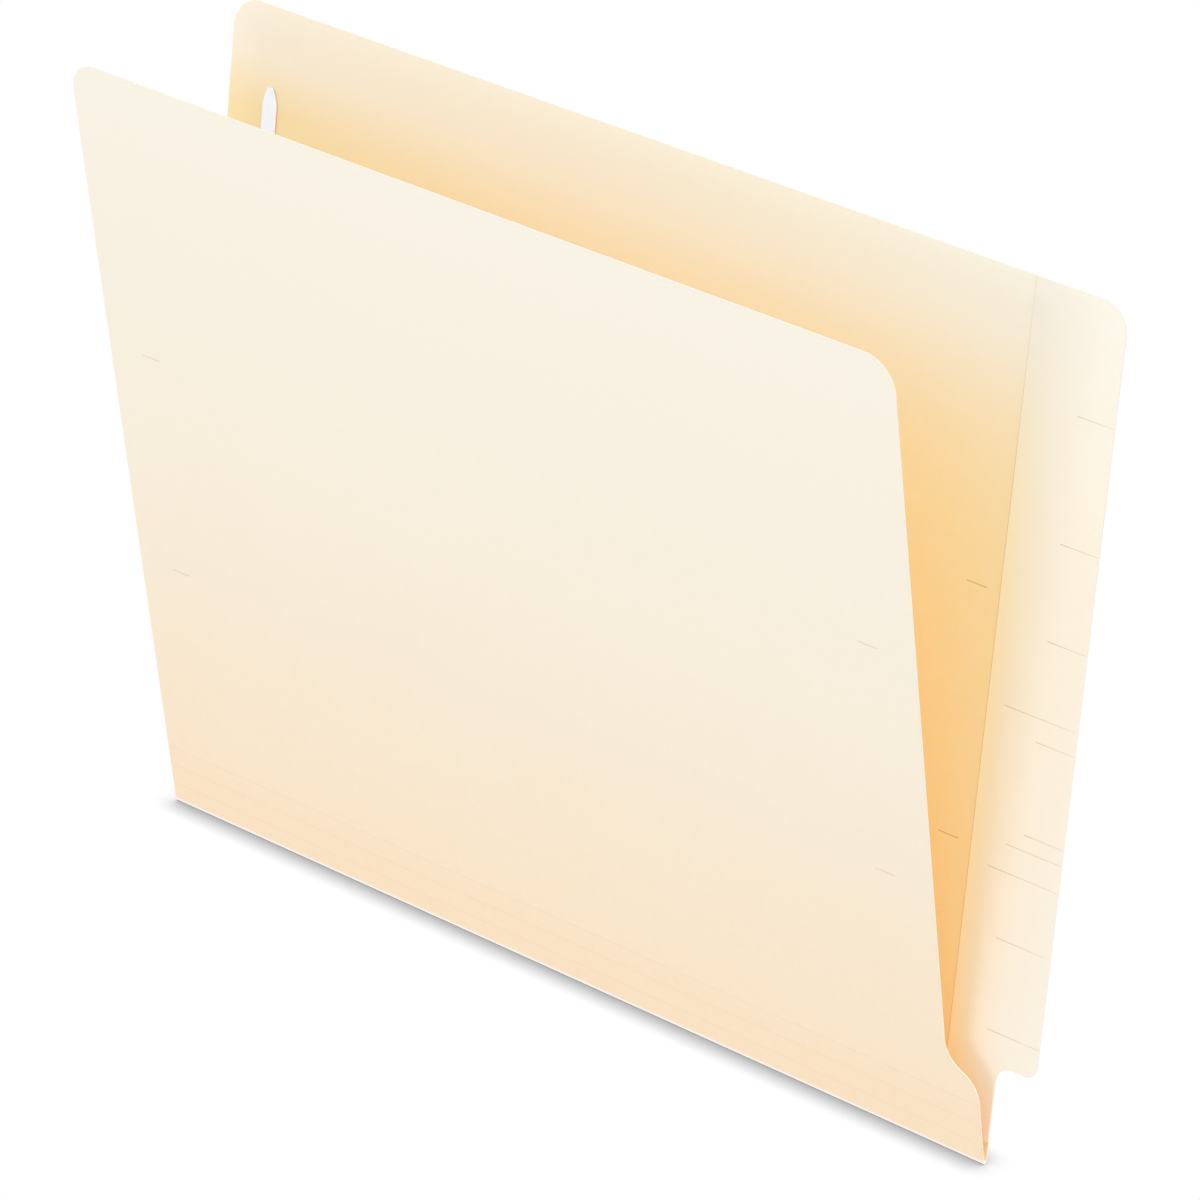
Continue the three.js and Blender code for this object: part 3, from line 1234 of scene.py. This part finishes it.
@dataclass(frozen=True)
class Gusset:
    """The foot of the front panel: three strips between scores, which let the folder widen."""

    board: Board
    pitch: float = 6.35 * MM
    count: int = 3
    crease: float = 0.6 * MM
    groove_width: float = 1.2 * MM
    groove_depth: float = 0.09 * MM
    groove_steps: int = 12
    groove_border: float = 0.15 * MM
    groove_shadow: float = 0.05
    slack: float = 0.005 * MM

    def score(self, index: int) -> float:
        """Returns the middle of a score, up the panel from the hinge line."""
        return self.board.up(index * self.pitch)

    def depth(self, away: float) -> float:
        """Finds how deep the board is pressed in beside a score.

        Args:
            away: The distance from the middle of the score.

        Returns:
            The depth.
        """
        half = self.groove_width / 2
        if abs(away) >= half:
            return 0.0
        return self.groove_depth * (1 + math.cos(math.pi * away / half)) / 2

    def press(self, piece: Piece, index: int, low: float, high: float) -> None:
        """Presses the part of a score that lies on a flat sheet into it, in edit mode.

        Args:
            piece: The sheet.
            index: Which score, counted up from the fold.
            low: The sheet's lower edge.
            high: The sheet's upper edge.
        """
        middle, half = self.score(index), self.groove_width / 2
        border = half + self.groove_border
        levels = [middle - half + self.groove_width * i / self.groove_steps
                  for i in range(self.groove_steps + 1)]
        levels += [middle - border, middle + border]
        slack = self.slack
        piece.cut(Axis.UP, [level for level in levels if low + slack < level < high - slack])
        for level in {*levels, low, high}:
            depth = self.depth(level - middle)
            if low - slack < level < high + slack and depth:
                piece.move(lambda p: near(p.z, level, slack), (0.0, depth, 0.0))

    def shade(self, place: Vector) -> float:
        """Returns the painted shade at a corner of the mesh: darkest at the bottom of a score."""
        deepest = max(self.depth(place.z - self.score(i)) for i in range(1, self.count + 1))
        return deepest / self.groove_depth * self.groove_shadow

    def build(self) -> None:
        """Makes the three strips and the crease above them."""
        for index in range(1, self.count + 1):
            self._strip(index)
        self._top_crease()

    def _blank(self, name: str, low: float, high: float, scores: Iterable[int]) -> Piece:
        """Makes the board between two levels, still flat, with its parts of the scores in it.

        Args:
            name: The piece's name.
            low: Its lower edge.
            high: Its upper edge.
            scores: Which scores lie on it, counted up from the fold.

        Returns:
            The piece.
        """
        board = self.board
        piece = Piece.sheet(name, board.left, board.right, low, high, -board.middle)
        piece.edit()
        for index in scores:
            self.press(piece, index, low, high)
        piece.divide(Axis.ALONG, board.left, board.right, board.grid)
        piece.make_board(board)
        piece.paint("groove", self.shade)
        return piece

    def _strip(self, index: int) -> None:
        """Makes one strip, with part of a score along each edge that has one.

        Args:
            index: Which strip, counted up from the fold.
        """
        board = self.board
        low = board.panel_start if index == 1 else self.score(index - 1)
        high = self.score(index) - (self.crease / 2 if index == self.count else 0.0)
        piece = self._blank(
            f"gusset_strip_{index}", low, high, range(max(index - 1, 1), index + 1)
        )
        piece.soften(
            board.edge_softness,
            lambda p: not (near(p.x, board.left) or near(p.x, board.right))
            or near(p.z, low) or near(p.z, high),
        )
        piece.smooth()
        piece.lean(Side.FRONT, board)
        piece.ride("spine", Slot.BOARD, f"expansion_strip_{index}")

    def _top_crease(self) -> None:
        """Makes the middle of the top score, which bends between the strips and the front panel."""
        board, middle = self.board, self.score(self.count)
        low, high = middle - self.crease / 2, middle + self.crease / 2
        piece = self._blank("top_crease", low, high, (self.count,))
        piece.smooth()
        piece.lean(Side.FRONT, board)
        piece.bend(
            ("spine", "front_panel"), board.place(Side.FRONT, board.middle, low),
            board.place(Side.FRONT, board.middle, high), Slot.BOARD,
        )


@dataclass(frozen=True)
class FrontPanel:
    """The front panel, cut back above a shoulder so that the tab shows."""

    board: Board
    gusset: Gusset
    shoulder_cut: float = 10.45 * MM
    shoulder_foot: float = 23 * MM
    shoulder_radius: float = 8.5 * MM
    shoulder_base: float = 4 * MM
    shoulder_turn: float = math.radians(63)
    corner_radius: float = 9.5 * MM
    slit_inset: float = 16 * MM
    slit_height: float = 118.1 * MM
    slit_shadow: float = 0.35

    def build(self) -> None:
        """Makes the panel and sets it on its body."""
        board, gusset = self.board, self.gusset
        turn, radius = self.shoulder_turn, self.shoulder_radius
        low = gusset.score(gusset.count) + gusset.crease / 2
        foot = board.up(self.shoulder_foot) + self.shoulder_base * math.tan(turn / 2)
        shoulder = foot + self.shoulder_cut / math.tan(turn)
        right = board.right - self.shoulder_cut
        height = board.up(self.slit_height)
        pairs = [
            SlitPair(x, height, shadow=self.slit_shadow)
            for x in (board.left + self.slit_inset, right - self.slit_inset)
        ]
        piece = Piece.sheet("front_board", board.left, right, low, board.top, -board.middle)
        piece.edit()
        piece.cut(Axis.UP, (foot, shoulder))
        piece.pull_edge(
            lambda p: near(p.x, right) and p.z < shoulder, (self.shoulder_cut, 0.0, 0.0)
        )
        self._slant(piece, right, shoulder)
        piece.join_faces()
        piece.round_corner(board.right, foot, radius, turn, SMALL_ARC)
        piece.round_corner(right, shoulder, radius, turn, SMALL_ARC)
        piece.round_corner(right, board.top, self.corner_radius, math.pi / 2, LARGE_ARC)
        piece.round_corner(board.left, board.top, self.corner_radius, math.pi / 2, LARGE_ARC)
        for pair in pairs:
            pair.cut(piece)
        gusset.press(piece, gusset.count, low, board.top)
        piece.divide(Axis.ALONG, board.left, board.right, board.grid)
        piece.divide(Axis.UP, low, board.top, board.grid)
        piece.make_board(board)
        piece.paint("groove", lambda p: max(gusset.shade(p), *(pair.shade(p) for pair in pairs)))
        board.tint(piece, Side.FRONT)
        piece.soften(board.edge_softness, lambda p: p.z < low + gusset.groove_width / 2)
        piece.smooth()
        piece.lean(Side.FRONT, board)
        piece.ride("front_panel", Slot.BOARD, "front_panel")

    @staticmethod
    def _slant(piece: Piece, right: float, shoulder: float) -> None:
        """Draws the outer end of the step in to a point, for the shoulder's slant, in edit mode.

        Args:
            piece: The panel, still flat.
            right: The X that the panel is cut back to.
            shoulder: How far up the panel the slant ends.
        """
        piece.pick(Kind.CORNER, lambda p: p.x > right - SAME and near(p.z, shoulder))
        bpy.ops.transform.resize(value=(0.0, 1.0, 1.0), center_override=(right, 0.0, shoulder))
        bpy.ops.mesh.select_all(action="SELECT")
        bpy.ops.mesh.remove_doubles(threshold=WELD)


@dataclass(frozen=True)
class Fastener:
    """The steel paper fastener: a base outside the back panel and two prongs flat on its inside."""

    board: Board
    panel: BackPanel
    steel: float = 0.3 * MM
    width: float = 5.3 * MM
    prong: float = 63 * MM
    tip_width: float = 1.7 * MM
    tip_radius: float = 0.9 * MM
    taper: float = 4.4 * MM
    crown_width: float = 3.6 * MM
    crown: float = 1.9 * MM
    bend_radius: float = 0.3 * MM
    clearance: float = 0.15 * MM
    softness: float = 0.07 * MM
    soft_steps: int = 3
    bend_steps: int = 6
    tip_steps: int = 8
    smooth_angle: float = 45.0

    def build(self) -> None:
        """Bends the strip from its middle to one tip, mirrors it and sets it on its body."""
        board, half, bend = self.board, self.width / 2, self.bend_radius
        outside = board.inner_radius + board.thickness + self.clearance + self.steel / 2
        inside = board.inner_radius - self.clearance - self.steel / 2
        slit = SlitPair.spacing / 2
        tip = slit - self.steel / 2 + self.prong
        piece = Piece.sheet("fastener_strip", -half, half, 0.0, slit - bend, outside)
        piece.edit()
        piece.spin_edge(
            outside, slit - bend, math.pi / 2, (outside - bend, slit - bend), self.bend_steps
        )
        piece.pull_edge(
            lambda p: near(p.y, outside - bend) and near(p.z, slit),
            (0.0, inside + 2 * bend - outside, 0.0),
        )
        piece.spin_edge(
            inside + bend, slit, -math.pi / 2, (inside + bend, slit + bend), self.bend_steps
        )
        piece.pull_edge(
            lambda p: near(p.y, inside) and near(p.z, slit + bend),
            (0.0, 0.0, tip - self.taper - slit - bend),
        )
        self._point(piece, tip)
        piece.done()
        piece.mirror_up()
        piece.edit()
        piece.unify()
        bpy.ops.mesh.select_all(action="SELECT")
        bpy.ops.transform.translate(value=(
            board.left + self.panel.fastener_inset, 0.0, board.up(self.panel.slit_height),
        ))
        piece.done()
        piece.dress(STEEL_FINISH, STEEL_FINISH)
        piece.thicken(self.steel)
        piece.paint("outside", lambda p: 1.0 if p.y > board.inner_radius + board.thickness else 0.0)
        piece.soften(self.softness, lambda p: False, self.soft_steps)
        piece.smooth(self.smooth_angle)
        piece.lean(Side.BACK, board)
        piece.ride("back_panel", Slot.STEEL, "paper_fastener")

    def _point(self, piece: Piece, tip: float) -> None:
        """Draws the prong in to its rounded tip, in two steps, in edit mode.

        Args:
            piece: The strip, up to where the prong starts to taper.
            tip: The Z of the tip.
        """
        width, level = self.width, tip - self.taper
        steps = (self.taper - self.crown, self.crown_width), (self.crown, self.tip_width)
        for rise, narrower in steps:
            piece.pull_edge(lambda p: near(p.z, level), (0.0, 0.0, rise))
            bpy.ops.transform.resize(
                value=(narrower / width, 1.0, 1.0), center_override=(0.0, 0.0, level + rise)
            )
            width, level = narrower, level + rise
        turn = math.pi / 2 - math.atan((self.crown_width - self.tip_width) / 2 / self.crown)
        for side in (-1, 1):
            piece.round_corner(side * width / 2, tip, self.tip_radius, turn, self.tip_steps)


@dataclass(frozen=True)
class Lamp:
    """A soft square lamp that points at the folder.

    Its level says how much light it gives there, however far away and however large it is.
    """

    name: str
    place: Point
    size: float
    level: float

    def hang(self, target: Vector) -> None:
        """Hangs the lamp.

        Args:
            target: The point that it shines at.
        """
        away = target - Vector(self.place)
        light = bpy.data.lights.new(self.name, "AREA")
        light.size = self.size
        light.energy = self.level * math.pi ** 2 * away.length_squared
        lamp = bpy.data.objects.new(self.name, light)
        lamp.location = self.place
        lamp.rotation_euler = away.to_track_quat("-Z", "Y").to_euler()
        lamp.visible_camera = False
        bpy.context.scene.collection.objects.link(lamp)


@dataclass(frozen=True)
class Studio:
    """A floor that shows the shadow, even light from all round, five soft lamps and the camera."""

    azimuth: float = math.radians(41.981)
    elevation: float = math.radians(26.935)
    distance: float = 1861.0 * MM
    target: Point = (7.383 * MM, 0.0, 119.528 * MM)
    lens: float = 210.38
    sensor: float = 36.0
    nearest: float = 0.05
    farthest: float = 20.0
    floor_width: float = 360 * MM
    floor_depth: float = 50 * MM
    shadow_reach: float = 7.5 * MM
    shadow_power: float = 0.92
    shadow_samples: int = 16
    dome_level: float = 0.86
    lamps: tuple[Lamp, ...] = (
        Lamp("overhead_lamp", (0.0, 0.0, 2.6), 0.40, 0.53),
        Lamp("front_lamp", (-0.15, -2.4, 0.05), 1.0, 0.13),
        Lamp("back_lamp", (0.15, 2.4, 0.05), 1.0, 0.13),
        Lamp("right_lamp", (2.4, 0.0, 0.05), 0.8, 0.18),
        Lamp("left_lamp", (-2.4, 0.0, 0.05), 0.8, 0.10),
    )

    def build(self) -> None:
        """Makes the floor, the light and the camera."""
        self._floor()
        self._world()
        for lamp in self.lamps:
            lamp.hang(Vector(self.target))
        self._camera()
        scene = bpy.context.scene
        scene.view_settings.view_transform = "Standard"
        scene.cycles.max_bounces = 24
        scene.cycles.diffuse_bounces = 16

    def _floor(self) -> None:
        """Lays the floor under the fold.

        Its only tone is the folder's shadow. Elsewhere the white behind it and the light come through,
        so that a panel or a spine that is folded down below it stays in sight.
        """
        bpy.ops.object.select_all(action="DESELECT")
        bpy.ops.mesh.primitive_plane_add(size=1.0)
        floor = bpy.context.active_object
        floor.name = "floor"
        floor.scale = (self.floor_width, self.floor_depth, 1.0)
        bpy.ops.object.transform_apply(location=True, rotation=True, scale=True)
        material = bpy.data.materials.new("floor_white")
        material.use_nodes = True
        nodes = Nodes(material.node_tree)
        near_folder = nodes.node(
            "AmbientOcclusion", {"samples": self.shadow_samples}, {"Distance": self.shadow_reach}
        )
        clear = nodes.maths("POWER", nodes.out(near_folder, "AO"), self.shadow_power)
        clear = nodes.maths("MAXIMUM", clear, 1.0 - self._seen(nodes))
        shadow = nodes.node("Emission", None, {"Color": (0.0, 0.0, 0.0)})
        white = nodes.node("BsdfTransparent")
        shader = nodes.node(
            "MixShader", None, {0: clear, 1: nodes.out(shadow), 2: nodes.out(white)}
        )
        nodes.node("OutputMaterial", None, {"Surface": nodes.out(shader)})
        floor.data.materials.append(material)

    def _world(self) -> None:
        """Lights the scene evenly from all round, against a white background."""
        world = bpy.data.worlds.new("studio")
        world.use_nodes = True
        bpy.context.scene.world = world
        nodes = Nodes(world.node_tree)
        light = nodes.node("Background", None, {"Color": WHITE, "Strength": self.dome_level})
        white = nodes.node("Background", None, {"Color": WHITE, "Strength": 1.0})
        mixer = nodes.node(
            "MixShader", None, {0: self._seen(nodes), 1: nodes.out(light), 2: nodes.out(white)}
        )
        nodes.node("OutputWorld", None, {"Surface": nodes.out(mixer)})

    @staticmethod
    def _seen(nodes: Nodes) -> Wire:
        """Finds where the camera sees a surface, also in metal or through glass.

        Args:
            nodes: The node tree.

        Returns:
            1 there, and else 0.
        """
        path = nodes.node("LightPath")
        rays = [nodes.out(path, f"Is {kind} Ray") for kind in ("Camera", "Glossy", "Transmission")]
        return nodes.maths("MAXIMUM", rays[0], nodes.maths("MAXIMUM", rays[1], rays[2]))

    def _camera(self) -> None:
        """Sets up the camera at the photograph's viewing angle."""
        back = Vector((
            math.sin(self.azimuth) * math.cos(self.elevation),
            -math.cos(self.azimuth) * math.cos(self.elevation),
            math.sin(self.elevation),
        ))
        settings = bpy.data.cameras.new("camera")
        settings.lens = self.lens
        settings.sensor_width = self.sensor
        settings.clip_start = self.nearest
        settings.clip_end = self.farthest
        camera = bpy.data.objects.new("camera", settings)
        camera.location = Vector(self.target) + back * self.distance
        camera.rotation_euler = (-back).to_track_quat("-Z", "Y").to_euler()
        bpy.context.scene.collection.objects.link(camera)
        bpy.context.scene.camera = camera


def main() -> None:
    """Builds the folder piece by piece, then the studio round it."""
    logging.basicConfig(level=logging.INFO, format="%(name)s %(message)s")
    board = Board()
    panel = BackPanel(board)
    gusset = Gusset(board)
    Fold(board).build()
    panel.build()
    TabPly(board, panel).build()
    gusset.build()
    FrontPanel(board, gusset).build()
    Fastener(board, panel).build()
    Studio().build()


if __name__ == "__main__":
    main()
